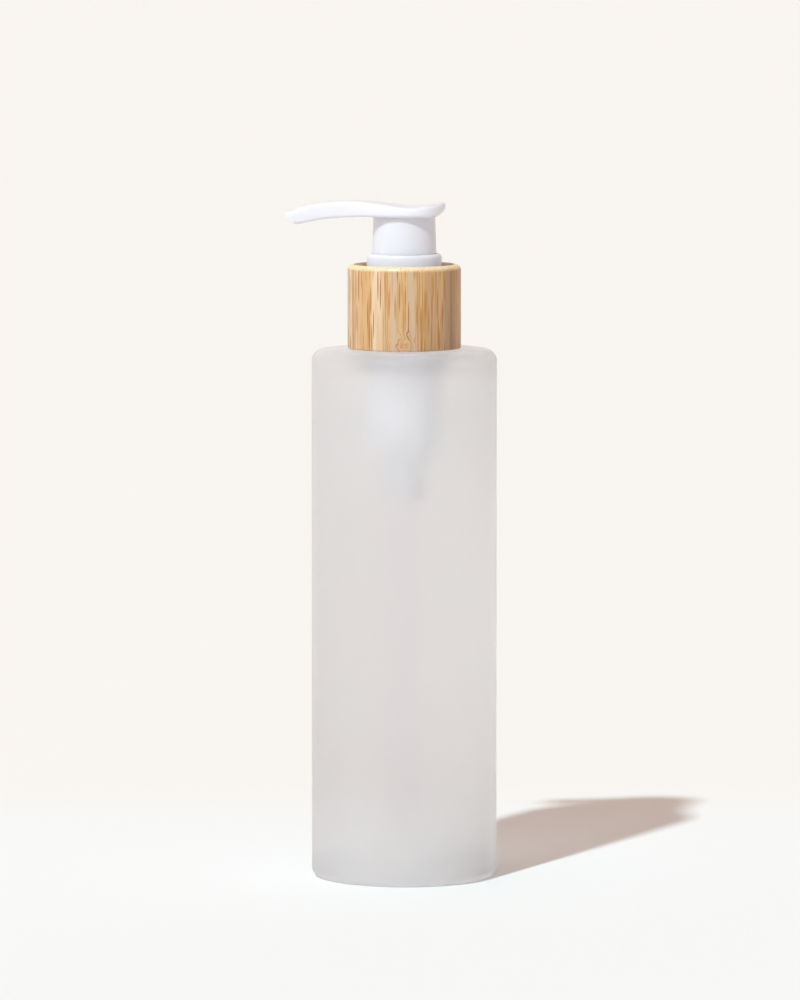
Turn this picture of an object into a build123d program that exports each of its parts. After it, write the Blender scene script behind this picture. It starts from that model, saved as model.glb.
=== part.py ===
"""Refillable oil bottle: frosted glass, bamboo-clad screw closure and a lock-down lotion pump.

Frame: origin on the bottle's axis at the plane that it stands on, +Z up, spout towards -X.
The stored pose has the pump head down, as it is shipped, with its lock lugs in line with
the gaps of the lock ring. All sizes are in millimetres.
"""

from build123d import *
import os
from math import radians, tan

# Glass bottle
BOTTLE_R = 23.0
SHOULDER_Z = 131.34
SHOULDER_ROUND = 2.95
HEEL_ROUND = 1.9
WALL = 2.7
ROOF = 3.7
ROOF_ROUND = 4.0
FLOOR = 4.6
FLOOR_ROUND = 4.5
PUNT_R = 15.0
PUNT_DEPTH = 0.8
PUNT_SLOPE = 2.5
PUNT_ROUND = 1.5
FOOT_ROUND = 1.0

# Neck finish, 24 mm with one and a half turns
NECK_HEIGHT = 16.4
NECK_ROOT_R = 10.75
NECK_THREAD_R = 11.75
NECK_BORE_R = 8.0
NECK_INNER_ROUND = 2.4
LIP_ROUND = 0.4
THREAD_PITCH = 3.175
THREAD_TURNS = 1.5
THREAD_DROP = 6.3
THREAD_SINK = 0.15
NECK_THREAD_WIDTHS = (2.1, 1.0)
CAP_THREAD_WIDTHS = (1.7, 0.7)

# Closure
CAP_R = 12.5
CAP_BORE_R = 11.9
CAP_THREAD_R = 10.95
CAP_LIFT = 0.7
CAP_TOP_PLATE = 1.5
CAP_HOLE_R = 8.45
CAP_ROUND = 0.5
COLLAR_R = 14.04
COLLAR_TOP_Z = 152.37
COLLAR_GAP = 0.26
COLLAR_ROUND = 1.4
COLLAR_INNER_ROUND = 0.05

# Pump engine
GASKET = 0.8
FLANGE = 1.2
FLANGE_R = 11.3
BARREL_R = 7.2
BARREL_BORE_R = 6.4
BARREL_FLOOR_Z = 107.5
BARREL_SHOULDER = 1.0
BARREL_SHOULDER_ROUND = 1.5
SPIGOT_Z = 94.0
SPIGOT_R = 4.2
SEAT_Z = 102.6
SEAT_CONE = 1.5
PASSAGE_R = 1.5
PASSAGE = 1.2
CHAMBER_R = 3.0
VENT_R = 0.6
VENT_DROP = 3.5
RETAINER = 1.0
RETAINER_BORE_R = 1.6
RETAINER_PORT_R = 0.7
RETAINER_PORT_CENTRE = 2.2
BALL_R = 2.25
TUBE_R = 3.0
TUBE_BORE_R = 2.2
TUBE_LIFT = 1.6
TUBE_CUT_DEGREES = 30.0
TUBE_CUT_RISE = 1.8
TUBE_GAP = 0.2
SPRING_WIRE_R = 0.4
SPRING_R = 5.1
SPRING_TURNS = 8

# Plunger
STROKE = 11.0
FLOAT = 1.2
TOP_STOP = 0.5
PISTON_HEIGHT = 6.0
PISTON_BODY_R = 5.2
PISTON_WAIST = 0.9
PISTON_LIP = 1.5
PISTON_LIP_SLOPE = 0.7
PISTON_GROOVE = 1.2
PISTON_GROOVE_R = (4.3, 5.0)
STEM_R = 3.5
STEM_BORE_R = 2.2
STEM_TOP_Z = 163.2
STEM_BITE = 0.8
SEAT_DISC = 1.4
SEAT_DISC_R = 5.6
ROD_TAIL = 5.0
ROD_TAIL_R = 2.6
ROD_NECK_R = 3.6
ROD_PLUG = 9.0
FLUTE_R = 0.75

# Lock ring
HUB_BOTTOM_Z = 146.0
RING_R = 9.3
RING_TOP_Z = 155.0
RING_ROUND = 0.9
RING_FLOOR = 0.7
RING_GROOVE_R = 8.75
RING_LEDGE_R = 8.12
LEDGE_BOTTOM_Z = 153.5
GUIDE_R = 5.4
GUIDE_RISE = 1.2
LUG_R = 8.6
LUG_ANGLE = 44.0
GAP_ANGLE = 56.0

# Head
SKIRT_R = 7.95
SKIRT_TOP_R = 7.65
SKIRT_WALL = 1.1
SKIRT_LIFT = 0.9
SKIRT_THICK_FOOT = 3.0
SOCKET_R = 5.0
SOCKET_LIFT = 0.4
PLATE_Z = 164.2
PLATE_R = 9.2
PLATE_CENTRE_X = 1.0
PLATE_JOIN = 0.5
TIP_X = -29.85
CHANNEL_R = 1.1
WELL_HEIGHT = 3.6
UPPER_ROUND = 0.9
LOWER_ROUND = 0.6

# Side view of the head, from the spout to the back of the thumb plate
HEAD_TOP = [
    (-28.6, 165.95),
    (-24.5, 167.0),
    (-18.0, 167.9),
    (-11.5, 168.05),
    (-5.0, 167.35),
    (1.0, 166.6),
    (6.0, 167.0),
    (11.5, 168.35),
]
HEAD_UNDER = [(SKIRT_R, PLATE_Z), (-12.0, PLATE_Z), (-20.0, 163.6), (-24.0, 162.85), (-27.0, 162.45)]
HEAD_TIP = (TIP_X, 164.85)
HEAD_BACK_UNDER = (11.5, 166.6)

# Half of the head's plan, from the plate to beyond the tip, and the oil channel's arc
HEAD_HALF_PLAN = [(PLATE_CENTRE_X, PLATE_R), (-6.5, 7.4), (-13.0, 4.8), (-19.0, 3.6), (TIP_X - 1.0, 3.0)]
CHANNEL_ARC = [(0, 0, 164.2), (-14.0, 0, 166.2), (-29.6, 0, 163.2)]

# Clearances and edge roundings of the moulded parts
PLAY = 0.1
FIT = 0.04
GLUE = 0.02
FINE_EDGE = 0.2
EDGE = 0.3
SOFT_EDGE = 0.6

# Heights that follow from the stack on the neck
NECK_TOP_Z = SHOULDER_Z + NECK_HEIGHT
THREAD_LOW_Z = NECK_TOP_Z - THREAD_DROP
FLANGE_Z = NECK_TOP_Z + GASKET
CAP_PLATE_Z = FLANGE_Z + FLANGE + PLAY
RING_BOTTOM_Z = CAP_PLATE_Z + CAP_TOP_PLATE + PLAY
SKIRT_BOTTOM_Z = RING_BOTTOM_Z + SKIRT_LIFT
PISTON_Z = HUB_BOTTOM_Z - STROKE - FLOAT - TOP_STOP - PISTON_HEIGHT
SPRING_TOP_Z = PISTON_Z - SEAT_DISC
SPRING_BOTTOM_Z = BARREL_FLOOR_Z + RETAINER


def outline(*corners):
    """Closed face in the XZ plane; a corner is (radius, height) or (radius, height, rounding)."""
    face = Face(Wire.make_polygon([Vector(c[0], 0, c[1]) for c in corners]))
    for corner in corners:
        if len(corner) == 3:
            place = Vector(corner[0], 0, corner[1])
            nearest = face.vertices().sort_by_distance(place)[0]
            face = face.fillet_2d(corner[2], [nearest])
    return face


def turned(*corners):
    """Solid turned about the bottle's axis."""
    return revolve(outline(*corners), Axis.Z)


def wedge(radius, bottom, top, angle):
    """Two opposite sectors, centred on the Y axis, for lugs and gaps."""
    reach = radius * tan(radians(angle / 2))
    corners = [(0, 0), (reach, radius), (-reach, radius)]
    base = Plane.XY.offset(bottom) * make_face(Polyline(*corners, close=True))
    sector = extrude(base, top - bottom)
    return sector + Rot(0, 0, 180) * sector


def thread(root_r, crest_r, low_z, widths):
    """Right-hand helical ridge from its root radius to its crest, with its lower end at low_z."""
    root_width, crest_width = widths
    path = Helix(pitch=THREAD_PITCH, height=THREAD_PITCH * THREAD_TURNS, radius=root_r)
    section = make_face(
        Polyline(
            (root_r, 0, -root_width / 2),
            (crest_r, 0, -crest_width / 2),
            (crest_r, 0, crest_width / 2),
            (root_r, 0, root_width / 2),
            close=True,
        )
    )
    ridge = sweep(section, path=path, is_frenet=True)
    return Pos(0, 0, low_z) * ridge


def make_bottle():
    inner_r = BOTTLE_R - WALL
    roof_z = SHOULDER_Z - ROOF
    body = turned(
        (0, PUNT_DEPTH),
        (PUNT_R - PUNT_SLOPE, PUNT_DEPTH, PUNT_ROUND),
        (PUNT_R, 0, FOOT_ROUND),
        (BOTTLE_R, 0, HEEL_ROUND),
        (BOTTLE_R, SHOULDER_Z, SHOULDER_ROUND),
        (NECK_ROOT_R, SHOULDER_Z, SOFT_EDGE),
        (NECK_ROOT_R, NECK_TOP_Z, SOFT_EDGE),
        (NECK_BORE_R, NECK_TOP_Z, LIP_ROUND),
        (NECK_BORE_R, roof_z, NECK_INNER_ROUND),
        (inner_r, roof_z, ROOF_ROUND),
        (inner_r, FLOOR, FLOOR_ROUND),
        (0, FLOOR),
    )
    return body + thread(NECK_ROOT_R - THREAD_SINK, NECK_THREAD_R, THREAD_LOW_Z, NECK_THREAD_WIDTHS)


def make_bamboo_collar():
    bottom = SHOULDER_Z + COLLAR_GAP
    bore_r = CAP_R + 2 * GLUE
    return turned(
        (bore_r, bottom),
        (COLLAR_R, bottom, EDGE),
        (COLLAR_R, COLLAR_TOP_Z, COLLAR_ROUND),
        (bore_r, COLLAR_TOP_Z, COLLAR_INNER_ROUND),
    )


def make_screw_cap():
    bottom = SHOULDER_Z + CAP_LIFT
    top = CAP_PLATE_Z + CAP_TOP_PLATE
    shell = turned(
        (CAP_BORE_R, bottom),
        (CAP_R, bottom),
        (CAP_R, top, CAP_ROUND),
        (CAP_HOLE_R, top, EDGE),
        (CAP_HOLE_R, CAP_PLATE_Z),
        (CAP_BORE_R, CAP_PLATE_Z),
    )
    low = THREAD_LOW_Z - THREAD_PITCH / 2
    return shell + thread(CAP_BORE_R + THREAD_SINK, CAP_THREAD_R, low, CAP_THREAD_WIDTHS)


def make_neck_gasket():
    return turned(
        (BARREL_R + PLAY, NECK_TOP_Z),
        (NECK_ROOT_R, NECK_TOP_Z),
        (NECK_ROOT_R, FLANGE_Z),
        (BARREL_R + PLAY, FLANGE_Z),
    )


def make_pump_housing():
    rim_z = RING_BOTTOM_Z - PLAY / 2
    tube_seat_z = SEAT_Z - PASSAGE
    barrel = turned(
        (TUBE_R + GLUE, SPIGOT_Z),
        (SPIGOT_R, SPIGOT_Z, EDGE),
        (SPIGOT_R, SEAT_Z + BARREL_SHOULDER, BARREL_SHOULDER),
        (BARREL_R, BARREL_FLOOR_Z - BARREL_SHOULDER, BARREL_SHOULDER_ROUND),
        (BARREL_R, FLANGE_Z),
        (FLANGE_R, FLANGE_Z),
        (FLANGE_R, FLANGE_Z + FLANGE, EDGE),
        (BARREL_R, FLANGE_Z + FLANGE),
        (BARREL_R, rim_z),
        (BARREL_BORE_R, rim_z),
        (BARREL_BORE_R, BARREL_FLOOR_Z),
        (CHAMBER_R, BARREL_FLOOR_Z),
        (CHAMBER_R, SEAT_Z + SEAT_CONE),
        (PASSAGE_R, SEAT_Z),
        (PASSAGE_R, tube_seat_z),
        (TUBE_R + GLUE, tube_seat_z),
    )
    wall = BARREL_R - BARREL_BORE_R
    vent = Pos(0, BARREL_R, NECK_TOP_Z - VENT_DROP) * Rot(90, 0, 0) * Cylinder(VENT_R, 4 * wall)
    return barrel - vent


def make_ball_retainer():
    disc = turned(
        (RETAINER_BORE_R, BARREL_FLOOR_Z),
        (BARREL_BORE_R - GLUE, BARREL_FLOOR_Z),
        (BARREL_BORE_R - GLUE, SPRING_BOTTOM_Z, FINE_EDGE),
        (RETAINER_BORE_R, SPRING_BOTTOM_Z),
    )
    port = Pos(RETAINER_PORT_CENTRE, 0, SPRING_BOTTOM_Z) * Cylinder(RETAINER_PORT_R, 4 * RETAINER)
    for quarter in range(4):
        disc -= Rot(0, 0, 45 + 90 * quarter) * port
    return disc


def make_inlet_ball():
    """Ball a hair above its cone, whose half angle is 45 degrees."""
    seat_apex = SEAT_Z - PASSAGE_R
    return Pos(0, 0, seat_apex + BALL_R * 2**0.5 + FIT) * Sphere(BALL_R)


def make_dip_tube():
    """Tube with its lower end cut on the slant, so that the floor can't close it."""
    top = SEAT_Z - PASSAGE - TUBE_GAP
    bottom = FLOOR + TUBE_LIFT
    tube = turned((TUBE_BORE_R, bottom), (TUBE_R, bottom), (TUBE_R, top), (TUBE_BORE_R, top))
    block = Box(8 * TUBE_R, 8 * TUBE_R, 6 * TUBE_R)
    cut = Rot(0, TUBE_CUT_DEGREES, 0) * Pos(0, 0, -3 * TUBE_R) * block
    return tube - Pos(0, 0, bottom + TUBE_CUT_RISE) * cut


def make_return_spring():
    height = SPRING_TOP_Z - SPRING_BOTTOM_Z - 2 * SPRING_WIRE_R - 2 * GLUE
    path = Helix(pitch=height / SPRING_TURNS, height=height, radius=SPRING_R)
    start = Plane(origin=path @ 0, z_dir=path % 0)
    wire = sweep(start * Circle(SPRING_WIRE_R), path=path, is_frenet=True)
    return Pos(0, 0, SPRING_BOTTOM_Z + SPRING_WIRE_R + GLUE) * wire


def make_valve_rod():
    """Fluted plug in the stem's bore, with the disc that the piston seals against."""
    plug_r = STEM_BORE_R - FIT
    rod = turned(
        (0, SPRING_TOP_Z - ROD_TAIL),
        (ROD_TAIL_R, SPRING_TOP_Z - ROD_TAIL, SOFT_EDGE),
        (ROD_NECK_R, SPRING_TOP_Z),
        (SEAT_DISC_R, SPRING_TOP_Z),
        (SEAT_DISC_R, PISTON_Z, EDGE),
        (plug_r, PISTON_Z),
        (plug_r, PISTON_Z + ROD_PLUG, LIP_ROUND),
        (0, PISTON_Z + ROD_PLUG),
    )
    flute_length = ROD_PLUG + 1.0
    flute = Pos(STEM_BORE_R, 0, PISTON_Z + flute_length / 2) * Cylinder(FLUTE_R, flute_length)
    for quarter in range(4):
        rod -= Rot(0, 0, 90 * quarter) * flute
    return rod


def make_piston():
    lip_r = BARREL_BORE_R - FIT
    waist_r = lip_r - PISTON_WAIST
    bottom = PISTON_Z + GLUE
    top = PISTON_Z + PISTON_HEIGHT
    slope = PISTON_LIP + PISTON_LIP_SLOPE
    groove_inner_r, groove_outer_r = PISTON_GROOVE_R
    bore_r = STEM_R + FIT
    return turned(
        (bore_r, bottom),
        (PISTON_BODY_R, bottom),
        (lip_r, PISTON_Z + PISTON_LIP / 3),
        (lip_r, PISTON_Z + PISTON_LIP),
        (waist_r, PISTON_Z + slope, EDGE),
        (waist_r, top - slope, EDGE),
        (lip_r, top - PISTON_LIP),
        (lip_r, top - EDGE),
        (PISTON_BODY_R, top),
        (groove_outer_r, top - PISTON_GROOVE),
        (groove_inner_r + FINE_EDGE, top - PISTON_GROOVE),
        (groove_inner_r, top),
        (bore_r, top),
    )


def make_stem():
    bottom = PISTON_Z + STEM_BITE
    return turned(
        (STEM_BORE_R, bottom),
        (STEM_R, bottom, LIP_ROUND),
        (STEM_R, STEM_TOP_Z, EDGE),
        (STEM_BORE_R, STEM_TOP_Z),
    )


def make_lock_ring():
    """Ring that snaps on the housing, guides the stem and locks the head's lugs."""
    guide_bore_r = STEM_R + PLAY
    floor_z = RING_BOTTOM_Z + RING_FLOOR
    ring = turned(
        (guide_bore_r, HUB_BOTTOM_Z, FINE_EDGE),
        (BARREL_BORE_R - GLUE, HUB_BOTTOM_Z, LIP_ROUND),
        (BARREL_BORE_R - GLUE, RING_BOTTOM_Z),
        (BARREL_R + GLUE, RING_BOTTOM_Z),
        (BARREL_R + GLUE, CAP_PLATE_Z),
        (CAP_HOLE_R - PLAY, CAP_PLATE_Z),
        (CAP_HOLE_R - PLAY, RING_BOTTOM_Z),
        (RING_R, RING_BOTTOM_Z, FINE_EDGE),
        (RING_R, RING_TOP_Z, RING_ROUND),
        (RING_LEDGE_R, RING_TOP_Z, FINE_EDGE),
        (RING_LEDGE_R, LEDGE_BOTTOM_Z),
        (RING_GROOVE_R, LEDGE_BOTTOM_Z),
        (RING_GROOVE_R, floor_z),
        (GUIDE_R, floor_z),
        (GUIDE_R, floor_z + GUIDE_RISE, LIP_ROUND),
        (guide_bore_r, floor_z + GUIDE_RISE, EDGE),
    )
    ledge = turned(
        (GUIDE_R + FINE_EDGE, LEDGE_BOTTOM_Z - FINE_EDGE),
        (RING_GROOVE_R, LEDGE_BOTTOM_Z - FINE_EDGE),
        (RING_GROOVE_R, RING_TOP_Z + PLAY),
        (GUIDE_R + FINE_EDGE, RING_TOP_Z + PLAY),
    )
    gaps = wedge(CAP_BORE_R, LEDGE_BOTTOM_Z - 1, RING_TOP_Z + 1, GAP_ANGLE)
    return ring - (ledge & gaps)


def head_side():
    """Side view of the plate and spout: a saddle for the thumb and a downturned spout."""
    edge = [
        Spline(*HEAD_TOP),
        Line(HEAD_TOP[-1], HEAD_BACK_UNDER),
        Line(HEAD_BACK_UNDER, HEAD_UNDER[0]),
        Spline(*HEAD_UNDER),
        Line(HEAD_UNDER[-1], HEAD_TIP),
        Line(HEAD_TIP, HEAD_TOP[0]),
    ]
    return Plane.XZ * make_face(edge)


def head_plan():
    """Plan view: round thumb plate that narrows into the spout."""
    mirrored = [(x, -y) for x, y in HEAD_HALF_PLAN]
    far = Spline(*HEAD_HALF_PLAN, tangents=[(-1, 0), (-1, -0.03)])
    near = Spline(*mirrored, tangents=[(-1, 0), (-1, 0.03)])
    back = ThreePointArc(mirrored[0], (PLATE_CENTRE_X + PLATE_R, 0), HEAD_HALF_PLAN[0])
    end = Line(mirrored[-1], HEAD_HALF_PLAN[-1])
    return make_face([near, end, far, back])


def make_head_plate():
    """Plate and spout in one, with its upper and lower edges rounded."""
    slab = extrude(Plane.XY.offset(PLATE_Z - PLATE_R) * head_plan(), 2 * PLATE_R)
    plate = extrude(head_side(), PLATE_R + 1, both=True) & slab
    tip_edges = plate.edges().filter_by(Axis.Y)
    long_edges = [e for e in plate.edges() if e.length > PLATE_R and e not in tip_edges]
    upper = [e for e in long_edges if (e @ 0.5).Z > HEAD_TOP[0][1]]
    plate = fillet(upper, UPPER_ROUND)
    floor_z = PLATE_Z - LOWER_ROUND
    lower = [e for e in plate.edges() if e.length > PLATE_R / 2 and floor_z < (e @ 0.5).Z < HEAD_TOP[0][1]]
    lower = [e for e in lower if abs((e @ 0.5).Y) > 2.9 or (e @ 0.5).X > PLATE_R]
    return fillet(lower, LOWER_ROUND)


def make_pump_head():
    join_z = PLATE_Z + PLATE_JOIN
    inner_r = SKIRT_R - SKIRT_WALL
    skirt = turned(
        (inner_r, SKIRT_BOTTOM_Z),
        (SKIRT_R, SKIRT_BOTTOM_Z, FINE_EDGE),
        (SKIRT_R, RING_TOP_Z),
        (SKIRT_TOP_R, join_z),
        (SKIRT_TOP_R - SKIRT_WALL, join_z),
        (SKIRT_TOP_R - SKIRT_WALL, SKIRT_BOTTOM_Z + SKIRT_THICK_FOOT),
    )
    lug_top_z = LEDGE_BOTTOM_Z - PLAY
    lug_bottom_z = SKIRT_BOTTOM_Z + PLAY
    lugs = turned(
        (SKIRT_R - EDGE, lug_bottom_z),
        (LUG_R, lug_bottom_z, PLAY),
        (LUG_R, lug_top_z, PLAY),
        (SKIRT_R - EDGE, lug_top_z),
    )
    lugs = lugs & wedge(CAP_BORE_R, SKIRT_BOTTOM_Z - 1, RING_TOP_Z, LUG_ANGLE)
    socket = turned(
        (STEM_R + GLUE, RING_TOP_Z - SOCKET_LIFT),
        (SOCKET_R, RING_TOP_Z - SOCKET_LIFT),
        (SOCKET_R, join_z),
        (0, join_z),
        (0, STEM_TOP_Z + PLAY),
        (STEM_R + GLUE, STEM_TOP_Z + PLAY),
    )
    arc = ThreePointArc(*CHANNEL_ARC)
    start = Plane(origin=arc @ 0, z_dir=arc % 0)
    channel = sweep(start * Circle(CHANNEL_R), path=arc)
    well = Pos(0, 0, STEM_TOP_Z) * Cylinder(STEM_BORE_R, WELL_HEIGHT)
    return make_head_plate() + skirt + lugs + socket - channel - well


MAKERS = {
    "bottle": make_bottle,
    "bamboo_collar": make_bamboo_collar,
    "screw_cap": make_screw_cap,
    "neck_gasket": make_neck_gasket,
    "pump_housing": make_pump_housing,
    "ball_retainer": make_ball_retainer,
    "inlet_ball": make_inlet_ball,
    "dip_tube": make_dip_tube,
    "return_spring": make_return_spring,
    "valve_rod": make_valve_rod,
    "piston": make_piston,
    "stem": make_stem,
    "lock_ring": make_lock_ring,
    "pump_head": make_pump_head,
}

os.makedirs("parts", exist_ok=True)
for name, make in MAKERS.items():
    export_step(make(), f"parts/{name}.step")
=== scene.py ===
"""Oil bottle of frosted glass with a bamboo-clad closure and a white lotion pump, on a pale sweep."""
import math
import bmesh
import bpy
from mathutils import Matrix, Vector


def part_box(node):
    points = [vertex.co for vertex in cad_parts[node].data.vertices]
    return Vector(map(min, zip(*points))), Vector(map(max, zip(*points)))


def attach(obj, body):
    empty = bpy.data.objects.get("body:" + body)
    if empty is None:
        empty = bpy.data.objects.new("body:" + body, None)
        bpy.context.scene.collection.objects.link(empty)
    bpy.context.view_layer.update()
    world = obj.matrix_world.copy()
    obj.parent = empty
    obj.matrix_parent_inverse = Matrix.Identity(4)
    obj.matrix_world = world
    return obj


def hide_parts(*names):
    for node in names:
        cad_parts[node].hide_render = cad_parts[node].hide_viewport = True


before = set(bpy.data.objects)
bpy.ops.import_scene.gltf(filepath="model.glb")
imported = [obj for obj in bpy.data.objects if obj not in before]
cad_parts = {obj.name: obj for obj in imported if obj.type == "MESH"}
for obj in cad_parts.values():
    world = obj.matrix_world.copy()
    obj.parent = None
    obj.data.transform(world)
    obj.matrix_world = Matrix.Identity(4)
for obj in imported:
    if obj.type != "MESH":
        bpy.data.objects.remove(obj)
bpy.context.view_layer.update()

MM = 0.001

# Lowest and highest corners, in metres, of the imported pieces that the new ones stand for
GLASS_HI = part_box("bottle")[1]
COLLAR_LO, COLLAR_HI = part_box("bamboo_collar")
RING_LO, RING_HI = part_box("lock_ring")
HEAD_LO, HEAD_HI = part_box("pump_head")
CAP_LO, CAP_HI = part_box("screw_cap")
STEM_LO, STEM_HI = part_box("stem")


def linear(code):
    """Linear colour with alpha from an sRGB hex code such as "f4f5f8"."""
    shares = [int(code[k:k + 2], 16) / 255 for k in (0, 2, 4)]
    return [s / 12.92 if s <= 0.04045 else ((s + 0.055) / 1.055) ** 2.4 for s in shares] + [1.0]


# ---- Materials -------------------------------------------------------------------------------


def new_material(name):
    """Material with an empty node tree."""
    material = bpy.data.materials.new(name)
    material.use_nodes = True
    material.node_tree.nodes.clear()
    return material


def add(material, kind, inputs, **settings):
    """Adds a node with its settings; inputs maps a socket's name or number to a value or a source."""
    made = material.node_tree.nodes.new(kind)
    for key, value in settings.items():
        setattr(made, key, value)
    for key, value in inputs.items():
        if isinstance(value, bpy.types.NodeSocket):
            material.node_tree.links.new(value, made.inputs[key])
        else:
            made.inputs[key].default_value = value
    return made


def etched_glass():
    """Soda-lime glass, acid-etched outside: satin grey-white that blurs the pump behind it.

    The milky skin of the etch scatters part of the light. Towards the base it is made milkier and
    given a chalky diffuse layer, as painted light, and on the shoulder it is thinned, as painted
    shade. The etch clouds over about 20 mm, and its grit is drawn 0.4 mm coarse, because the real
    one is too fine to show.
    """
    m = new_material("acid_etched_soda_glass")
    place = add(m, "ShaderNodeTexCoord", {}).outputs["Object"]
    height = add(m, "ShaderNodeSeparateXYZ", {0: place}).outputs["Z"]
    cloud = add(m, "ShaderNodeTexNoise", {"Vector": place, "Scale": 45.0, "Detail": 3.0})
    grit = add(m, "ShaderNodeTexNoise", {"Vector": place, "Scale": 2500.0, "Detail": 2.0})
    tint = add(m, "ShaderNodeMix", {0: cloud.outputs[0], 6: linear("fdf8f9"), 7: linear("f6f8f9")},
               data_type="RGBA")
    rough = add(m, "ShaderNodeMapRange", {"Value": cloud.outputs[0], "To Min": 0.42, "To Max": 0.52})
    bump = add(m, "ShaderNodeBump", {"Height": grit.outputs[0], "Strength": 0.15, "Distance": 0.0002})
    clear = add(m, "ShaderNodeBsdfPrincipled", {
        "Base Color": tint.outputs[2],
        "Roughness": rough.outputs[0],
        "Normal": bump.outputs[0],
        "IOR": 1.3,
        "Transmission Weight": 0.9,
    })
    milk = add(m, "ShaderNodeBsdfTranslucent", {"Color": tint.outputs[2], "Normal": bump.outputs[0]})
    # painted light: the milky share rises from 0.57 to 0.7 towards the base to brighten it
    milk_rising_at_base_painted_light = add(m, "ShaderNodeMapRange", {
        "Value": height, "From Min": 0.002, "From Max": 0.03, "To Min": 0.7, "To Max": 0.57,
    }, interpolation_type="SMOOTHSTEP")
    # painted shade: the milky share is cut by up to 0.3 on the shoulder to darken it
    shoulder = add(m, "ShaderNodeMapRange", {
        "Value": height, "From Min": 0.112, "From Max": 0.131, "To Min": 0.0, "To Max": 0.3,
    }, interpolation_type="SMOOTHSTEP")
    milkiness = add(m, "ShaderNodeMath", {0: milk_rising_at_base_painted_light.outputs[0], 1: shoulder.outputs[0]},
                    operation="SUBTRACT")
    skin = add(m, "ShaderNodeMixShader", {0: milkiness.outputs[0], 1: clear.outputs[0],
                                          2: milk.outputs[0]})
    etch_diffuse_and_painted_light = add(m, "ShaderNodeBsdfDiffuse", {"Color": tint.outputs[2], "Normal": bump.outputs[0]})
    # painted light: a chalky diffuse layer, up to 0.27 of the surface, brightens the glass near the
    # base
    chalk_layer_painted_light = add(m, "ShaderNodeMapRange", {
        "Value": height, "From Min": 0.004, "From Max": 0.03, "To Min": 0.27, "To Max": 0.03,
    }, interpolation_type="SMOOTHSTEP")
    shader = add(m, "ShaderNodeMixShader", {0: chalk_layer_painted_light.outputs[0], 1: skin.outputs[0],
                                            2: etch_diffuse_and_painted_light.outputs[0]})
    add(m, "ShaderNodeOutputMaterial", {"Surface": shader.outputs[0]})
    return m


def inner_glass():
    """Fire-polished inside of the glass, which shows only through the etch, so it bends no light."""
    m = new_material("fire_polished_inside_of_glass")
    shader = add(m, "ShaderNodeBsdfTransparent", {"Color": linear("fcfdfd")})
    add(m, "ShaderNodeOutputMaterial", {"Surface": shader.outputs[0]})
    return m


def shoulder_glass():
    """Thick clear glass inside the shoulder and the heel, rippled every 8 mm by the mould.

    It bends the light, and so gathers a darker line below the collar.
    """
    m = new_material("fire_polished_shoulder_glass")
    place = add(m, "ShaderNodeTexCoord", {}).outputs["Object"]
    ripple = add(m, "ShaderNodeTexNoise", {"Vector": place, "Scale": 120.0})
    bump = add(m, "ShaderNodeBump", {"Height": ripple.outputs[0], "Strength": 0.1, "Distance": 0.0005})
    bending = add(m, "ShaderNodeBsdfPrincipled", {
        "Base Color": linear("fbf9fa"), "Roughness": 0.12, "Normal": bump.outputs[0], "IOR": 1.17,
        "Transmission Weight": 1.0,
    })
    plain = add(m, "ShaderNodeBsdfTransparent", {"Color": linear("fcfdfd")})
    shader = add(m, "ShaderNodeMixShader", {0: 0.45, 1: bending.outputs[0], 2: plain.outputs[0]})
    add(m, "ShaderNodeOutputMaterial", {"Surface": shader.outputs[0]})
    return m


# Bamboo strips: their width, the left edge of the first, and how far apart in the cane
# neighbours were cut; then the knuckle's place, inner and outer reach, and push on the fibres
STRIP = 8.0 * MM
STRIP_START = -12.7 * MM
CUT_APART = 37.0 * MM
KNUCKLE = (-0.7 * MM, -14.0 * MM, 133.4 * MM)
KNUCKLE_CORE, KNUCKLE_REACH = 0.8 * MM, 4.8 * MM
KNUCKLE_BEND = 1.1 * MM


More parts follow.
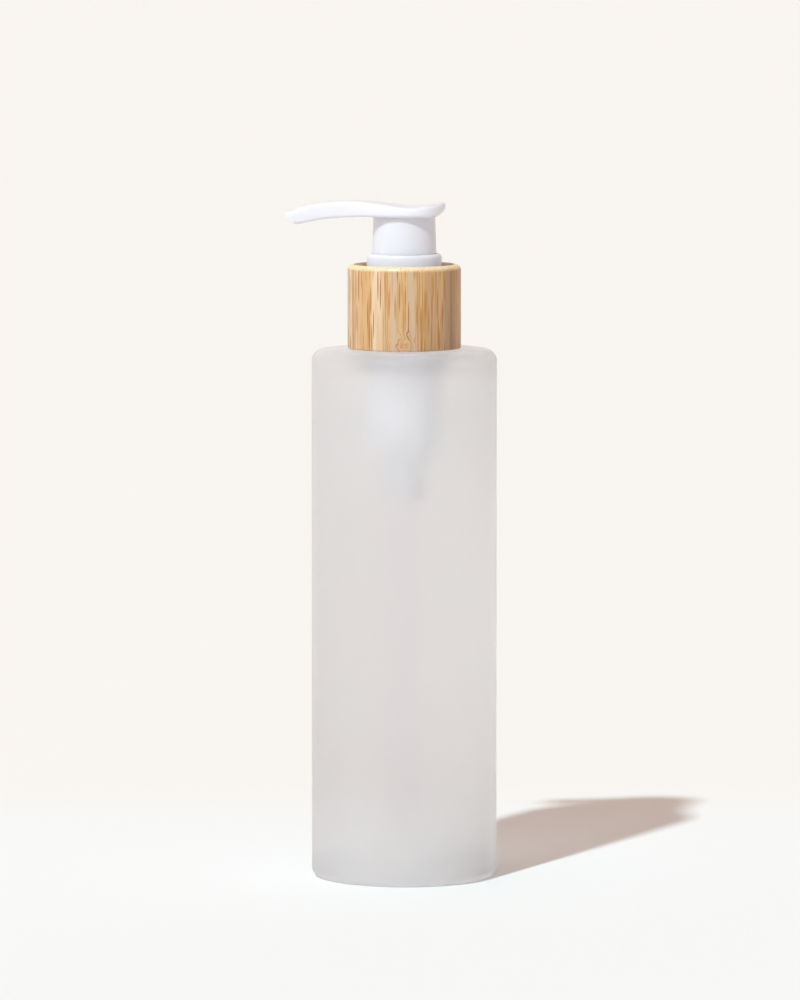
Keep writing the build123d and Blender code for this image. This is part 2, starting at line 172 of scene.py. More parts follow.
def lacquered_bamboo():
    """Bamboo strips glued side by side, turned round and lacquered.

    Each 8 mm strip has its own tone, and the tones step from pale at -X to dark at +X, which is
    painted light on the side towards the key and painted shade on the side away from it. Inside
    it run straight fibres 0.4 mm apart in bands of 3 mm, darker vessel bundles 0.4 mm wide and up
    to 9 mm long and, low on the front strip, the swirl of a knuckle. The lacquer gives it a soft
    clear coat.
    """
    m = new_material("turned_lacquered_bamboo")
    place = add(m, "ShaderNodeTexCoord", {}).outputs["Object"]
    split = add(m, "ShaderNodeSeparateXYZ", {0: place})
    across = add(m, "ShaderNodeMath", {0: split.outputs["X"], 1: STRIP_START}, operation="SUBTRACT")
    counted = add(m, "ShaderNodeMath", {0: across.outputs[0], 1: STRIP}, operation="DIVIDE")
    number = add(m, "ShaderNodeMath", {0: counted.outputs[0]}, operation="FLOOR")
    edge = add(m, "ShaderNodeMath", {0: counted.outputs[0], 1: 0.5}, operation="PINGPONG")
    glue = add(m, "ShaderNodeMapRange", {
        "Value": edge.outputs[0], "From Min": 0.006, "From Max": 0.02, "To Min": 0.55, "To Max": 0.0,
    })
    # painted light and shade: the strips step from pale at -X, towards the key, to dark at +X, away
    # from it
    tone = add(m, "ShaderNodeMapRange", {"Value": number.outputs[0], "From Min": -1.0, "From Max": 3.0})
    apart = add(m, "ShaderNodeMath", {0: number.outputs[0], 1: CUT_APART}, operation="MULTIPLY")
    own = add(m, "ShaderNodeCombineXYZ", {"Y": apart.outputs[0], "Z": apart.outputs[0]})
    # the knuckle bends the fibres round it
    to_knuckle = add(m, "ShaderNodeVectorMath", {0: place, 1: KNUCKLE}, operation="DISTANCE")
    knuckle = add(m, "ShaderNodeMapRange", {
        "Value": to_knuckle.outputs["Value"], "From Min": KNUCKLE_CORE, "From Max": KNUCKLE_REACH,
        "To Min": 1.0, "To Max": 0.0,
    }, interpolation_type="SMOOTHSTEP")
    swirl = add(m, "ShaderNodeTexNoise", {"Vector": place, "Scale": 420.0, "Detail": 1.0})
    bend = add(m, "ShaderNodeMapRange", {
        "Value": swirl.outputs[0], "From Min": 0.3, "From Max": 0.7,
        "To Min": -KNUCKLE_BEND, "To Max": KNUCKLE_BEND,
    })
    bent = add(m, "ShaderNodeMath", {0: bend.outputs[0], 1: knuckle.outputs[0]}, operation="MULTIPLY")
    pushed = add(m, "ShaderNodeCombineXYZ", {"X": bent.outputs[0]})
    grain_place = add(m, "ShaderNodeVectorMath", {0: place, 1: own.outputs[0]}, operation="ADD")
    grain_bent = add(m, "ShaderNodeVectorMath", {0: grain_place.outputs[0], 1: pushed.outputs[0]},
                     operation="ADD")
    lengthwise = add(m, "ShaderNodeMapping", {"Vector": grain_bent.outputs[0], "Scale": (1, 1, 0.03)})
    fibre = add(m, "ShaderNodeTexNoise", {
        "Vector": lengthwise.outputs[0], "Scale": 2300.0, "Detail": 3.0,
    })
    broad = add(m, "ShaderNodeTexNoise", {
        "Vector": lengthwise.outputs[0], "Scale": 330.0, "Detail": 1.0,
    })
    bundles_at = add(m, "ShaderNodeMapping", {
        "Vector": grain_bent.outputs[0], "Scale": (1900, 1900, 85),
    })
    bundles = add(m, "ShaderNodeTexVoronoi", {"Vector": bundles_at.outputs[0], "Scale": 1.0})
    core = add(m, "ShaderNodeMapRange", {
        "Value": bundles.outputs["Distance"], "From Min": 0.26, "From Max": 0.38,
        "To Min": 1.0, "To Max": 0.0,
    })
    some = add(m, "ShaderNodeSeparateColor", {0: bundles.outputs["Color"]})
    chosen = add(m, "ShaderNodeMapRange", {
        "Value": some.outputs[0], "From Min": 0.2, "From Max": 0.5,
    })
    dash = add(m, "ShaderNodeMath", {0: core.outputs[0], 1: chosen.outputs[0]}, operation="MULTIPLY")
    strip_tone_and_painted_shade = add(m, "ShaderNodeMix", {0: tone.outputs[0], 6: linear("ebd0b0"),
                                          7: linear("8f6841")}, data_type="RGBA")
    cloudy = add(m, "ShaderNodeMapRange", {
        "Value": broad.outputs[0], "From Min": 0.35, "From Max": 0.7,
    })
    warmed = add(m, "ShaderNodeMix", {0: cloudy.outputs[0], 6: strip_tone_and_painted_shade.outputs[2],
                                      7: linear("cda16d")}, data_type="RGBA")
    fine = add(m, "ShaderNodeMapRange", {
        "Value": fibre.outputs[0], "From Min": 0.48, "From Max": 0.62, "To Max": 1.0,
    })
    grouped = add(m, "ShaderNodeMapRange", {
        "Value": broad.outputs[0], "From Min": 0.38, "From Max": 0.6, "To Min": 0.35,
    })
    lines = add(m, "ShaderNodeMath", {0: fine.outputs[0], 1: grouped.outputs[0]}, operation="MULTIPLY")
    lined = add(m, "ShaderNodeMix", {0: lines.outputs[0], 6: warmed.outputs[2], 7: linear("b78344")},
                data_type="RGBA")
    curled = add(m, "ShaderNodeMath", {0: fine.outputs[0], 1: knuckle.outputs[0]}, operation="MULTIPLY")
    darkest = add(m, "ShaderNodeMath", {0: dash.outputs[0], 1: curled.outputs[0]}, operation="MAXIMUM")
    dashed = add(m, "ShaderNodeMix", {0: darkest.outputs[0], 6: lined.outputs[2], 7: linear("ac6e2f")},
                 data_type="RGBA")
    glued = add(m, "ShaderNodeMix", {0: glue.outputs[0], 6: dashed.outputs[2], 7: linear("a8723a")},
                data_type="RGBA")
    # cut across the strips on top, the grain shows its ends, paler and dotted
    flat = add(m, "ShaderNodeCombineXYZ", {"X": split.outputs["X"], "Y": split.outputs["Y"]})
    dots_at = add(m, "ShaderNodeVectorMath", {0: flat.outputs[0], "Scale": 2200.0}, operation="SCALE")
    dots = add(m, "ShaderNodeTexVoronoi", {"Vector": dots_at.outputs[0], "Scale": 1.0})
    dotted = add(m, "ShaderNodeMapRange", {
        "Value": dots.outputs["Distance"], "From Min": 0.15, "From Max": 0.45, "To Min": 0.7,
        "To Max": 0.0,
    })
    ends = add(m, "ShaderNodeMix", {0: dotted.outputs[0], 6: linear("eed3aa"), 7: linear("c99a5f")},
               data_type="RGBA")
    on_top = add(m, "ShaderNodeMapRange", {
        "Value": split.outputs["Z"],
        "From Min": COLLAR_HI.z - 1.5 * MM, "From Max": COLLAR_HI.z - 0.4 * MM,
    }, interpolation_type="SMOOTHSTEP")
    colour = add(m, "ShaderNodeMix", {0: on_top.outputs[0], 6: glued.outputs[2], 7: ends.outputs[2]},
                 data_type="RGBA")
    bump = add(m, "ShaderNodeBump", {"Height": fibre.outputs[0], "Strength": 0.12, "Distance": 0.0001})
    shader = add(m, "ShaderNodeBsdfPrincipled", {
        "Base Color": colour.outputs[2],
        "Roughness": 0.5,
        "Normal": bump.outputs[0],
        "IOR": 1.5,
        "Coat Weight": 0.35,
        "Coat Roughness": 0.22,
    })
    add(m, "ShaderNodeOutputMaterial", {"Surface": shader.outputs[0]})
    return m


# Height over which the shade sets in on plastic that is shaded low down
SHADED_OVER = 18.0 * MM


def moulded_plastic(name, colour, shade, roughness, glow, shaded_below=None):
    """Injection-moulded polyolefin: smooth, faintly translucent, with the tool's polish.

    The tone drifts to the shade over about 15 mm, as the melt cooled, or, with a height given,
    turns to the shade from there down, as painted shade. The polish is drawn 1 mm coarse,
    because the real one is too fine to show.
    """
    m = new_material(name)
    place = add(m, "ShaderNodeTexCoord", {}).outputs["Object"]
    if shaded_below:
        height = add(m, "ShaderNodeSeparateXYZ", {0: place}).outputs["Z"]
        # painted shade: the tone darkens below the given height
        drift_and_painted_shade = add(m, "ShaderNodeMapRange", {
            "Value": height, "From Min": shaded_below - SHADED_OVER, "From Max": shaded_below,
            "To Min": 1.0, "To Max": 0.0,
        })
    else:
        drift_and_painted_shade = add(m, "ShaderNodeTexNoise", {"Vector": place, "Scale": 70.0, "Detail": 2.0})
    tint = add(m, "ShaderNodeMix", {0: drift_and_painted_shade.outputs[0], 6: linear(colour), 7: linear(shade)},
               data_type="RGBA")
    polish = add(m, "ShaderNodeTexNoise", {"Vector": place, "Scale": 900.0, "Detail": 3.0})
    rough = add(m, "ShaderNodeMapRange", {
        "Value": polish.outputs[0], "To Min": roughness - 0.04, "To Max": roughness + 0.06,
    })
    bump = add(m, "ShaderNodeBump", {"Height": polish.outputs[0], "Strength": 0.05, "Distance": 0.0001})
    shader = add(m, "ShaderNodeBsdfPrincipled", {
        "Base Color": tint.outputs[2],
        "Roughness": rough.outputs[0],
        "Normal": bump.outputs[0],
        "IOR": 1.49,
        "Subsurface Weight": glow,
        "Subsurface Radius": (1.0, 1.0, 1.0),
        "Subsurface Scale": 0.004,
    })
    add(m, "ShaderNodeOutputMaterial", {"Surface": shader.outputs[0]})
    return m


def clear_tube():
    """Extruded natural polyethylene with lines left by the die, 0.5 mm apart.

    The wall is so thin that the tube hardly shows through the etched glass.
    """
    m = new_material("extruded_natural_polyethylene")
    place = add(m, "ShaderNodeTexCoord", {}).outputs["Object"]
    lengthwise = add(m, "ShaderNodeMapping", {"Vector": place, "Scale": (1, 1, 0.02)})
    die_lines = add(m, "ShaderNodeTexNoise", {"Vector": lengthwise.outputs[0], "Scale": 2200.0})
    bump = add(m, "ShaderNodeBump", {
        "Height": die_lines.outputs[0], "Strength": 0.1, "Distance": 0.0001,
    })
    skin = add(m, "ShaderNodeBsdfPrincipled", {
        "Base Color": linear("f0f1f0"), "Roughness": 0.35, "Normal": bump.outputs[0], "IOR": 1.5,
    })
    through = add(m, "ShaderNodeBsdfTransparent", {"Color": linear("fefcfe")})
    share = add(m, "ShaderNodeMapRange", {
        "Value": die_lines.outputs[0], "To Min": 0.95, "To Max": 0.985,
    })
    shader = add(m, "ShaderNodeMixShader", {0: share.outputs[0], 1: skin.outputs[0],
                                            2: through.outputs[0]})
    add(m, "ShaderNodeOutputMaterial", {"Surface": shader.outputs[0]})
    return m


def drawn_steel():
    """Hard-drawn stainless steel, its tone and polish mottled every 0.3 mm by the die."""
    m = new_material("drawn_stainless_wire")
    place = add(m, "ShaderNodeTexCoord", {}).outputs["Object"]
    lines = add(m, "ShaderNodeTexNoise", {"Vector": place, "Scale": 3000.0})
    tint = add(m, "ShaderNodeMix", {0: lines.outputs[0], 6: linear("c3c4c6"), 7: linear("cfd0d2")},
               data_type="RGBA")
    rough = add(m, "ShaderNodeMapRange", {"Value": lines.outputs[0], "To Min": 0.2, "To Max": 0.35})
    shader = add(m, "ShaderNodeBsdfPrincipled", {
        "Base Color": tint.outputs[2], "Metallic": 1.0, "Roughness": rough.outputs[0],
    })
    add(m, "ShaderNodeOutputMaterial", {"Surface": shader.outputs[0]})
    return m


def painted_sweep():
    """Matt emulsion, rolled on: neutral under the bottle, warmer further back."""
    m = new_material("matt_painted_sweep")
    place = add(m, "ShaderNodeTexCoord", {}).outputs["Object"]
    split = add(m, "ShaderNodeSeparateXYZ", {"Vector": place})
    back = add(m, "ShaderNodeMapRange", {
        "Value": split.outputs["Y"], "From Min": 0.07, "From Max": 0.2,
    }, interpolation_type="SMOOTHSTEP")
    colour = add(m, "ShaderNodeMix", {0: back.outputs[0], 6: linear("ebebeb"), 7: linear("ece8e5")},
                 data_type="RGBA")
    shader = add(m, "ShaderNodeBsdfPrincipled", {
        "Base Color": colour.outputs[2], "Roughness": 0.9, "Specular IOR Level": 0.1,
    })
    add(m, "ShaderNodeOutputMaterial", {"Surface": shader.outputs[0]})
    return m


GLASS = etched_glass()
GLASS_INSIDE = inner_glass()
GLASS_ENDS = shoulder_glass()
BAMBOO = lacquered_bamboo()
WHITE = moulded_plastic("polished_white_polypropylene", "e1dfe6", "dedce3", 0.3, 0.35)
# painted light and shade: the housing is pale at the top and darker below 116 mm
MILKY = moulded_plastic("natural_polypropylene", "f6f6fd", "d3d2d7", 0.4, 0.2, 116 * MM)
SOFT = moulded_plastic("soft_polyethylene", "e6e6e4", "e1e1df", 0.5, 0.2)
TUBE = clear_tube()
STEEL = drawn_steel()

# ---- Shapes ----------------------------------------------------------------------------------

# Points nearer than this are merged, and faces thinner than this along a cut are removed
SAME_PLACE = 0.001 * MM
SLIVER = 0.002 * MM


def lathe(corners, steps=144, segments=7, turn=math.tau):
    """Bmesh turned about Z from a closed outline of (radius, height, rounding) corners in mm.

    Less than a full turn gives a capped sector, centred on the +X axis.
    """
    bm = bmesh.new()
    points = [bm.verts.new((r * MM, 0, z * MM)) for r, z, _ in corners]
    for near, far in zip(points, points[1:] + points[:1]):
        bm.edges.new((near, far))
    for point, (_, _, rounding) in zip(points, corners):
        if rounding:
            ways = [(e.other_vert(point).co - point.co).normalized() for e in point.link_edges]
            reach = rounding * MM / math.tan(ways[0].angle(ways[1]) / 2)
            bmesh.ops.bevel(bm, geom=[point], offset=reach, offset_type="OFFSET", segments=segments,
                            profile=0.5, affect="VERTICES", material=-1)
    whole = turn == math.tau
    if not whole:
        bmesh.ops.contextual_create(bm, geom=bm.edges[:])
    bmesh.ops.spin(bm, geom=bm.verts[:] + bm.edges[:] + bm.faces[:], cent=(0, 0, 0), axis=(0, 0, 1),
                   angle=turn, steps=steps, use_merge=whole)
    if not whole:
        bmesh.ops.rotate(bm, verts=bm.verts, matrix=Matrix.Rotation(-turn / 2, 3, "Z"))
    return cleaned(bm)


def cleaned(bm):
    """The bmesh with its doubles merged and its faces outwards."""
    bmesh.ops.remove_doubles(bm, verts=bm.verts, dist=SAME_PLACE)
    bmesh.ops.recalc_face_normals(bm, faces=bm.faces)
    return bm


def both_sides(sector):
    """The sector turned to the front, with a copy of it behind."""
    bmesh.ops.rotate(sector, verts=sector.verts, matrix=Matrix.Rotation(-math.pi / 2, 3, "Z"))
    made = bmesh.ops.duplicate(sector, geom=sector.verts[:] + sector.edges[:] + sector.faces[:])
    copied = [v for v in made["geom"] if isinstance(v, bmesh.types.BMVert)]
    bmesh.ops.rotate(sector, verts=copied, matrix=Matrix.Rotation(math.pi, 3, "Z"))
    return sector


def thread_ridge(root_r, crest_r, low, widths):
    """Right-hand ridge of a thread, from sizes in mm, with its lower end at low."""
    root, crest = widths[0] / 2, widths[1] / 2
    bm = bmesh.new()
    corners = [bm.verts.new((r * MM, 0, (low + z) * MM)) for r, z in
               ((root_r, -root), (crest_r, -crest), (crest_r, crest), (root_r, root))]
    bm.faces.new(corners)
    bmesh.ops.spin(bm, geom=bm.verts[:] + bm.edges[:] + bm.faces[:], cent=(0, 0, 0), axis=(0, 0, 1),
                   dvec=(0, 0, PITCH * TURNS / RIDGE_STEPS * MM), angle=math.tau * TURNS,
                   steps=RIDGE_STEPS)
    return cleaned(bm)


def worked(base, tool, operation):
    """Base joined with ("UNION") or cut by ("DIFFERENCE") a closed tool; both bmeshes are used up."""
    pair = []
    for bm in (base, tool):
        mesh = bpy.data.meshes.new("blank")
        bm.to_mesh(mesh)
        bm.free()
        pair.append(bpy.data.objects.new("blank", mesh))
        bpy.context.scene.collection.objects.link(pair[-1])
    cut = pair[0].modifiers.new("cut", "BOOLEAN")
    cut.object = pair[1]
    cut.operation = operation
    cut.solver = "EXACT"
    result = bmesh.new()
    result.from_object(pair[0], bpy.context.evaluated_depsgraph_get())
    for blank in pair:
        mesh = blank.data
        bpy.data.objects.remove(blank)
        bpy.data.meshes.remove(mesh)
    bmesh.ops.dissolve_degenerate(result, edges=result.edges, dist=SLIVER)
    return cleaned(result)


def piece_from(bm, name, body, slot, material, *nodes, sharp=50):
    """Turns a bmesh into a smooth-shaded piece that rides on a body and stands for CAD nodes."""
    mesh = bpy.data.meshes.new(name)
    bm.to_mesh(mesh)
    bm.free()
    mesh.shade_smooth()
    mesh.set_sharp_from_angle(angle=math.radians(sharp))
    made = bpy.data.objects.new(name, mesh)
    bpy.context.scene.collection.objects.link(made)
    made.data.materials.append(material)
    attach(made, body)
    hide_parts(*nodes)
    return made


def mm(value):
    """Millimetres from metres."""
    return value / MM


# Sizes in mm. Glass
COLLAR_GAP = 0.26
SHOULDER_Z = mm(COLLAR_LO.z) - COLLAR_GAP
GLASS_R = mm(GLASS_HI.x)
WALL = 2.7
FLOOR_Z = 4.6
ROOF_Z = SHOULDER_Z - 3.7
BORE_R = GLASS_R - WALL
FOOT_R = 15.0
HOLLOW_R, HOLLOW = 12.5, 0.8
HEEL_ROUND = 1.9
SHOULDER_ROUND = 2.95
NECK_Z = mm(GLASS_HI.z)
NECK_R = 10.75
NECK_BORE_R = 8.0
# Reach of the thick glass from the floor and the roof, and slack in telling inner faces
THICK_GLASS = 3.0
TOUCH = 0.01

# Thread of the neck and the cap; widths are those of a ridge's root and crest
PITCH = 3.175
TURNS = 1.5
RIDGE_STEPS = 108
THREAD_LOW = NECK_Z - 6.3
RIDGE_SINK = 0.15
NECK_RIDGE, NECK_RIDGE_WIDTHS = 1.0, (2.1, 1.0)
CAP_RIDGE, CAP_RIDGE_WIDTHS = 0.95, (1.7, 0.7)

# Cap and collar
CAP_R = mm(CAP_HI.x)
CAP_BORE_R = 11.9
CAP_HOLE_R = 8.45
CAP_TOP = mm(CAP_HI.z)
CAP_PLATE_Z = CAP_TOP - 1.5
COLLAR_R = mm(COLLAR_HI.x)
COLLAR_BORE_R = CAP_R + 0.04
COLLAR_ROUND = 1.4

# Lock ring: hub in the barrel, flange on the cap, groove under the ledge, gaps in the ledge
RING_R = mm(RING_HI.x)
RING_TOP = mm(RING_HI.z)
RING_ROUND = 0.9
RING_FOOT = CAP_TOP + 0.1
RING_FLOOR = RING_FOOT + 0.7
RING_NECK_R = CAP_HOLE_R - 0.1
LEDGE_R = 8.12
LEDGE_Z = RING_TOP - 1.5
GROOVE_R = 8.75
HUB_R = 6.38
BARREL_R = 7.22
GUIDE_R = 3.6
GUIDE_WALL_R = 5.4
GUIDE_TOP = RING_FLOOR + 1.2
GAP_R = 5.6
GAP_ANGLE = math.radians(56)

# Stem, and the skirt, socket and lugs of the head
STEM_R = mm(STEM_HI.x)
STEM_BORE_R = 2.2
SKIRT_R = 7.95
SKIRT_TOP_R = 7.65
SKIRT_WALL = 1.1
SKIRT_Z = mm(HEAD_LO.z)
SOCKET_R = STEM_R + 0.02
SOCKET_WALL_R = 5.0
SOCKET_Z = RING_TOP - 0.4
LUG_R = 8.6
LUG_ROOT_R = SKIRT_R - 0.3
LUG_CLEAR = 0.1
LUG_ANGLE = math.radians(44)

# Plate and spout of the head
PLATE_Z = 164.2
PLATE_R = 9.2
PLATE_X = mm(HEAD_HI.x) - PLATE_R
JOIN_Z = PLATE_Z + 0.5
TIP_X = mm(HEAD_LO.x)
NOZZLE_R, NOZZLE_DEPTH = 1.1, 7.0
NOZZLE_PLACE = (-28.2, 0, 163.75)
NOZZLE_WAY = (-3.9, 0, -1.15)
TOP_RIM_ROUND, UNDER_RIM_ROUND = 0.9, 0.8


def make_bottle():
    """Bottle with its threaded neck; the inner faces take the clear glasses."""
    bm = lathe([
        (0, HOLLOW, 0),
        (HOLLOW_R, HOLLOW, 1.5),
        (FOOT_R, 0, 1.0),
        (GLASS_R, 0, HEEL_ROUND),
        (GLASS_R, SHOULDER_Z, SHOULDER_ROUND),
        (NECK_R, SHOULDER_Z, 0.6),
        (NECK_R, NECK_Z, 0.6),
        (NECK_BORE_R, NECK_Z, 0.4),
        (NECK_BORE_R, ROOF_Z, 2.4),
        (BORE_R, ROOF_Z, 4.0),
        (BORE_R, FLOOR_Z, 4.5),
        (0, FLOOR_Z, 0),
    ], steps=160)
    ridge = thread_ridge(NECK_R - RIDGE_SINK, NECK_R + NECK_RIDGE, THREAD_LOW, NECK_RIDGE_WIDTHS)
    bm = worked(bm, ridge, "UNION")
    for face in bm.faces:
        middle = face.calc_center_median() / MM
        reach = math.hypot(middle.x, middle.y)
        in_body = FLOOR_Z - TOUCH < middle.z < ROOF_Z + TOUCH and reach < BORE_R + TOUCH
        neck_reach = NECK_R if middle.z < SHOULDER_Z - 1 else NECK_BORE_R + TOUCH
        in_neck = middle.z > ROOF_Z and reach < neck_reach
        if in_body or in_neck:
            at_an_end = not FLOOR_Z + THICK_GLASS <= middle.z <= ROOF_Z - THICK_GLASS
            face.material_index = 2 if at_an_end else 1
    bottle = piece_from(bm, "frosted_bottle", "bottle", "frosted_glass", GLASS, "bottle")
    bottle.data.materials.append(GLASS_INSIDE)
    bottle.data.materials.append(GLASS_ENDS)


def make_collar():
    """Sleeve over the cap, well rounded along its top edge."""
    low, high = mm(COLLAR_LO.z), mm(COLLAR_HI.z)
    bm = lathe([
        (COLLAR_BORE_R, low, 0.05),
        (COLLAR_R, low, 0.3),
        (COLLAR_R, high, COLLAR_ROUND),
        (COLLAR_BORE_R, high, 0.05),
    ], steps=160)
    piece_from(bm, "turned_bamboo_collar", "closure", "bamboo", BAMBOO, "bamboo_collar")


def make_cap():
    """Cap with the ridge that lies half a pitch under the neck's."""
    low = mm(CAP_LO.z)
    bm = lathe([
        (CAP_BORE_R, low, 0),
        (CAP_R, low, 0),
        (CAP_R, CAP_TOP, 0.5),
        (CAP_HOLE_R, CAP_TOP, 0.3),
        (CAP_HOLE_R, CAP_PLATE_Z, 0),
        (CAP_BORE_R, CAP_PLATE_Z, 0),
    ])
    ridge = thread_ridge(CAP_BORE_R + RIDGE_SINK, CAP_BORE_R - CAP_RIDGE, THREAD_LOW - PITCH / 2,
                         CAP_RIDGE_WIDTHS)
    bm = worked(bm, ridge, "UNION")
    piece_from(bm, "threaded_cap", "closure", "white_pp", WHITE, "screw_cap", sharp=35)


def make_ring():
    """Ring that closes the barrel and guides the stem, with two gaps cut in its ledge."""
    low = mm(RING_LO.z)
    bm = lathe([
        (GUIDE_R, low, 0.2),
        (HUB_R, low, 0.4),
        (HUB_R, RING_FOOT, 0),
        (BARREL_R, RING_FOOT, 0),
        (BARREL_R, CAP_PLATE_Z, 0),
        (RING_NECK_R, CAP_PLATE_Z, 0),
        (RING_NECK_R, RING_FOOT, 0),
        (RING_R, RING_FOOT, 0.2),
        (RING_R, RING_TOP, RING_ROUND),
        (LEDGE_R, RING_TOP, 0.2),
        (LEDGE_R, LEDGE_Z, 0),
        (GROOVE_R, LEDGE_Z, 0),
        (GROOVE_R, RING_FLOOR, 0),
        (GUIDE_WALL_R, RING_FLOOR, 0),
        (GUIDE_WALL_R, GUIDE_TOP, 0.4),
        (GUIDE_R, GUIDE_TOP, 0.3),
    ])
    gap_low, gap_high = LEDGE_Z - 0.2, RING_TOP + 0.1
    gaps = lathe([
        (GAP_R, gap_low, 0),
        (GROOVE_R, gap_low, 0),
        (GROOVE_R, gap_high, 0),
        (GAP_R, gap_high, 0),
    ], steps=24, turn=GAP_ANGLE)
    bm = worked(bm, both_sides(gaps), "DIFFERENCE")
    piece_from(bm, "lock_down_ring", "pump", "white_pp", WHITE, "lock_ring", sharp=35)


def make_stem():
    """Tube that carries the oil from the piston up to the head."""
    low, high = mm(STEM_LO.z), mm(STEM_HI.z)
    bm = lathe([
        (STEM_BORE_R, low, 0.2),
        (STEM_R, low, 0.4),
        (STEM_R, high, 0.3),
        (STEM_BORE_R, high, 0.2),
    ], steps=72)
    piece_from(bm, "hollow_stem", "head", "white_pp", WHITE, "stem")


# The head's side and plan as (x, value) in mm, from the tip of the spout to the back of the plate
SADDLE = [(-28.6, 165.65), (-24.5, 167.0), (-18.0, 167.9), (-11.5, 168.05), (-5.0, 167.35),
          (1.0, 166.6), (6.0, 167.0), (10.2, 167.9)]
BELLY = [(-27.0, 162.45), (-24.0, 162.85), (-20.0, 163.6), (-12.0, 164.2), (-4.0, 164.2),
         (4.0, 164.2), (7.4, 164.22), (8.8, 164.75), (10.2, 165.7)]
HALF_WIDTH = [(-30.85, 3.0), (-19.0, 3.6), (-13.0, 4.8), (-6.5, 7.4), (-2.5, 8.75), (1.0, 9.2)]
# Cells of the block it is pressed from, the share of its length that the spout takes, and how far
# out the last row of cells starts at the sides and at the back
CELLS_ALONG, CELLS_ACROSS = 60, 12
SPOUT_SHARE = 0.75
RIM_ROW = 0.78
BACK_RIM = 0.9
# Share of the height, and how far the end of the spout is cut back, at the bottom, middle and top
RISE = {0.0: 0.0, 0.5: 0.42, 1.0: 1.0}
CUT_BACK = {0.0: 2.85, 0.5: 0.0, 1.0: 1.25}
# Share of the length that the cut bends, and how far it lifts the spout's nose
TIP_SHARE = 0.14
TIP_LIFT = 0.9
# From here out, a point of the block lies on its edge
EDGE = 0.99


def along(points, x):
    """Value at x on a smooth line through (x, value) points in order of x."""
    x = min(max(x, points[0][0]), points[-1][0])
    k = max(i for i in range(len(points) - 1) if points[i][0] <= x)
    slopes = []
    for j in (k, k + 1):
        before, after = points[max(j - 1, 0)], points[min(j + 1, len(points) - 1)]
        slopes.append((after[1] - before[1]) / (after[0] - before[0]))
    (x0, start), (x1, end) = points[k], points[k + 1]
    span = x1 - x0
    t = (x - x0) / span
    return (start * (2 * t**3 - 3 * t**2 + 1) + end * (3 * t**2 - 2 * t**3)
            + span * (slopes[0] * (t**3 - 2 * t**2 + t) + slopes[1] * (t**3 - t**2)))


def on_head(u, v, level):
    """Place, in metres, on the plate and spout of a point of a block.

    The block is two long and two wide, with u and v from -1 to 1, and level runs from 0 to 1.
    """
    share = (u + 1) / 2
    on_edge = abs(v) > EDGE
    if share <= SPOUT_SHARE:
        v = v if on_edge else v * RIM_ROW
        x = TIP_X + (PLATE_X - TIP_X) * share / SPOUT_SHARE
        y = v * along(HALF_WIDTH, x)
    else:
        out = (share - SPOUT_SHARE) / (1 - SPOUT_SHARE)
        out = 1.0 if out > EDGE else out * BACK_RIM
        v = v if on_edge else v * (RIM_ROW + (1 - RIM_ROW) * out)
        x = PLATE_X + PLATE_R * out * math.sqrt(1 - v * v / 2)
        y = PLATE_R * v * math.sqrt(1 - out * out / 2)
    below, above = along(BELLY, x), along(SADDLE, x)
    z = below + (above - below) * RISE[level]
    near_tip = max(0.0, 1 - share / TIP_SHARE)
    if level == 0.5:
        z += TIP_LIFT * near_tip
    x += CUT_BACK[level] * near_tip
    return Vector((x, y, z)) * MM


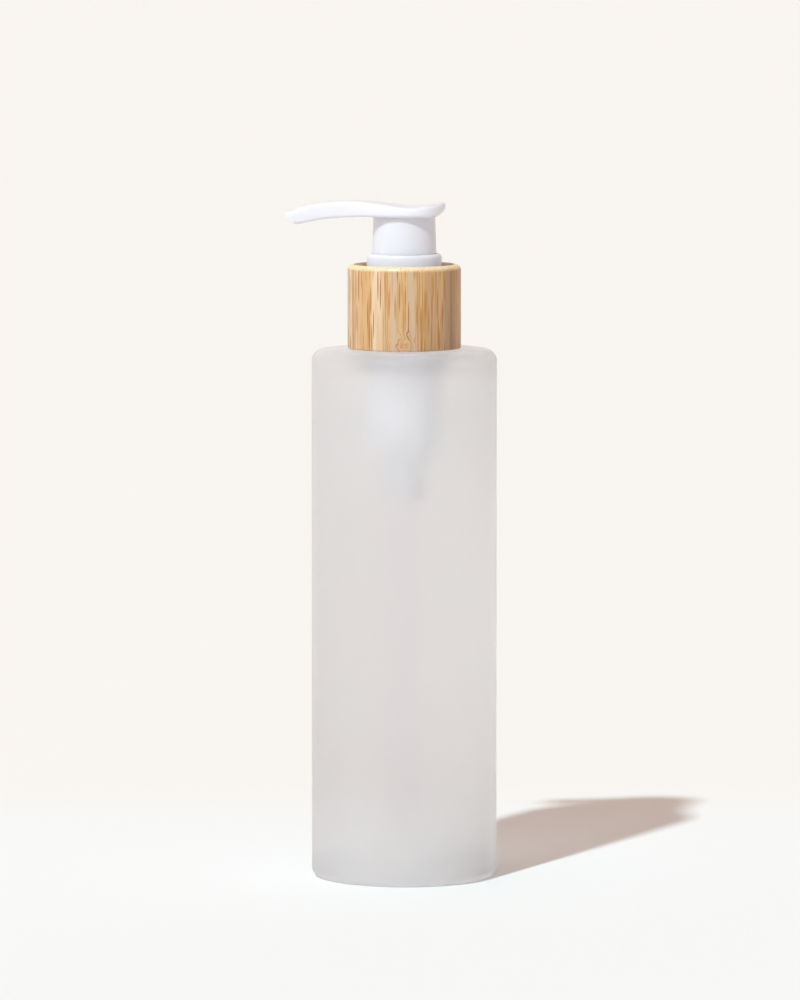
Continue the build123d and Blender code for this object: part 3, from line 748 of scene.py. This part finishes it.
def make_head():
    """Plate and spout pressed from one block, then the hollow skirt, stem socket and lock lugs."""
    bm = bmesh.new()
    bmesh.ops.create_grid(bm, x_segments=CELLS_ALONG, y_segments=CELLS_ACROSS, size=1)
    made = bmesh.ops.extrude_face_region(bm, geom=bm.verts[:] + bm.edges[:] + bm.faces[:],
                                         use_keep_orig=True)
    raised = [v for v in made["geom"] if isinstance(v, bmesh.types.BMVert)]
    bmesh.ops.translate(bm, verts=raised, vec=(0, 0, 1))
    risers = [e for e in bm.edges if abs(e.verts[0].co.z - e.verts[1].co.z) > 0.5]
    bmesh.ops.subdivide_edges(bm, edges=risers, cuts=1)
    rims = {0.0: [], 1.0: []}
    for edge in bm.edges:
        a, b = (v.co for v in edge.verts)
        at_side = abs(a.y) > EDGE and abs(b.y) > EDGE and a.y * b.y > 0
        at_back = a.x > EDGE and b.x > EDGE
        if a.z == b.z and a.z in rims and (at_side or at_back):
            rims[a.z].append(edge)
    for vert in bm.verts:
        level = round(vert.co.z * 2) / 2
        vert.co = on_head(vert.co.x, vert.co.y, level)
    bmesh.ops.recalc_face_normals(bm, faces=bm.faces)
    for level, rounding in ((1.0, TOP_RIM_ROUND), (0.0, UNDER_RIM_ROUND)):
        bmesh.ops.bevel(bm, geom=rims[level], offset=rounding * MM, offset_type="OFFSET", segments=6,
                        profile=0.5, affect="EDGES", material=-1)
    cleaned(bm)
    skirt = lathe([
        (SKIRT_R - SKIRT_WALL, SKIRT_Z, 0.1),
        (SKIRT_R, SKIRT_Z, 0.2),
        (SKIRT_R, RING_TOP, 0),
        (SKIRT_TOP_R, JOIN_Z, 0),
        (SKIRT_TOP_R - SKIRT_WALL, JOIN_Z, 0),
        (SKIRT_TOP_R - SKIRT_WALL, SKIRT_Z + 3, 0),
    ])
    socket = lathe([
        (SOCKET_R, SOCKET_Z, 0.2),
        (SOCKET_WALL_R, SOCKET_Z, 0.2),
        (SOCKET_WALL_R, JOIN_Z, 0),
        (SOCKET_R, JOIN_Z, 0),
    ], steps=72)
    lugs = lathe([
        (LUG_ROOT_R, SKIRT_Z + LUG_CLEAR, 0),
        (LUG_R, SKIRT_Z + LUG_CLEAR, 0.1),
        (LUG_R, LEDGE_Z - LUG_CLEAR, 0.1),
        (LUG_ROOT_R, LEDGE_Z - LUG_CLEAR, 0),
    ], steps=20, turn=LUG_ANGLE)
    for part in (skirt, socket, both_sides(lugs)):
        bm = worked(bm, part, "UNION")
    bore = bmesh.new()
    bmesh.ops.create_cone(bore, segments=32, radius1=NOZZLE_R * MM, radius2=NOZZLE_R * MM,
                          depth=NOZZLE_DEPTH * MM, cap_ends=True)
    tilt = Vector(NOZZLE_WAY).to_track_quat("Z", "Y").to_matrix().to_4x4()
    tilt.translation = Vector(NOZZLE_PLACE) * MM
    bmesh.ops.transform(bore, matrix=tilt, verts=bore.verts)
    bm = worked(bm, bore, "DIFFERENCE")
    piece_from(bm, "pump_head_and_spout", "head", "white_pp", WHITE, "pump_head", sharp=35)


make_bottle()
make_collar()
make_cap()
make_ring()
make_stem()
make_head()

for node, material in {
    "pump_housing": MILKY, "ball_retainer": MILKY, "valve_rod": MILKY,
    "neck_gasket": SOFT, "piston": SOFT, "dip_tube": TUBE,
    "return_spring": STEEL, "inlet_ball": STEEL,
}.items():
    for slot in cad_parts[node].material_slots:
        slot.material = material

# ---- Stage, light and camera -----------------------------------------------------------------

SWEEP_REACH = 20.0
# Fill: linear colours of the walls and the ceiling, and how bright the left and right walls are
WALL_GLOW = (0.95, 0.90, 0.86, 1)
CEILING_GLOW = (0.64, 0.50, 0.43, 1)
LEFT_WALL, RIGHT_WALL = 1.05, 0.6
# Key: bearing from the +Y axis towards +X, and height above the floor
KEY_POWER = 2.75
KEY_COLOUR = (0.747, 0.934, 1.0)
KEY_SPREAD = math.radians(2.5)
KEY_BEARING, KEY_HEIGHT = math.radians(28.2), math.radians(49.0)
# Camera: long lens, a little higher than the bottle and tilted down to it
LENS = 224.98
LENS_SHIFT = -0.00428
CAMERA_PLACE = (0, -1.5443, 0.240)
CAMERA_TILT = math.radians(90 - 5.41)


def make_sweep():
    """Floor that runs on far behind the bottle, so that its edge never shows."""
    bm = bmesh.new()
    bmesh.ops.create_grid(bm, x_segments=1, y_segments=1, size=SWEEP_REACH)
    mesh = bpy.data.meshes.new("sweep")
    bm.to_mesh(mesh)
    bm.free()
    sweep = bpy.data.objects.new("sweep", mesh)
    sweep.data.materials.append(painted_sweep())
    bpy.context.scene.collection.objects.link(sweep)


def make_light():
    """Cool key from the front left and high up, in a warm even fill."""
    world = bpy.data.worlds.new("warm_fill")
    world.use_nodes = True
    fill = world.node_tree.nodes["Background"]
    way = add(world, "ShaderNodeTexCoord", {}).outputs["Generated"]
    up = add(world, "ShaderNodeSeparateXYZ", {0: way})
    height = add(world, "ShaderNodeMapRange", {0: up.outputs["Z"], "From Min": 0.1, "From Max": 0.6},
                 interpolation_type="SMOOTHSTEP")
    walls = add(world, "ShaderNodeMix", {0: height.outputs[0], 6: WALL_GLOW, 7: CEILING_GLOW},
                data_type="RGBA")
    side = add(world, "ShaderNodeMapRange", {
        0: up.outputs["X"], "From Min": 0.0, "From Max": 0.9, "To Min": LEFT_WALL, "To Max": RIGHT_WALL,
    }, interpolation_type="SMOOTHSTEP")
    lit = add(world, "ShaderNodeVectorMath", {0: walls.outputs[2], "Scale": side.outputs[0]},
              operation="SCALE")
    world.node_tree.links.new(lit.outputs[0], fill.inputs["Color"])
    bpy.context.scene.world = world
    lamp = bpy.data.lights.new("key", "SUN")
    lamp.energy = KEY_POWER
    lamp.color = KEY_COLOUR
    lamp.angle = KEY_SPREAD
    key = bpy.data.objects.new("key", lamp)
    run = math.cos(KEY_HEIGHT)
    ray = Vector((math.sin(KEY_BEARING) * run, math.cos(KEY_BEARING) * run, -math.sin(KEY_HEIGHT)))
    key.rotation_euler = ray.to_track_quat("-Z", "Y").to_euler()
    bpy.context.scene.collection.objects.link(key)


def make_camera():
    lens = bpy.data.cameras.new("camera")
    lens.lens = LENS
    lens.sensor_width = 36.0
    lens.shift_x = LENS_SHIFT
    lens.clip_end = 100
    camera = bpy.data.objects.new("camera", lens)
    camera.location = CAMERA_PLACE
    camera.rotation_euler = (CAMERA_TILT, 0, 0)
    bpy.context.scene.collection.objects.link(camera)
    bpy.context.scene.camera = camera


make_sweep()
make_light()
make_camera()
bpy.context.scene.view_settings.view_transform = "Standard"
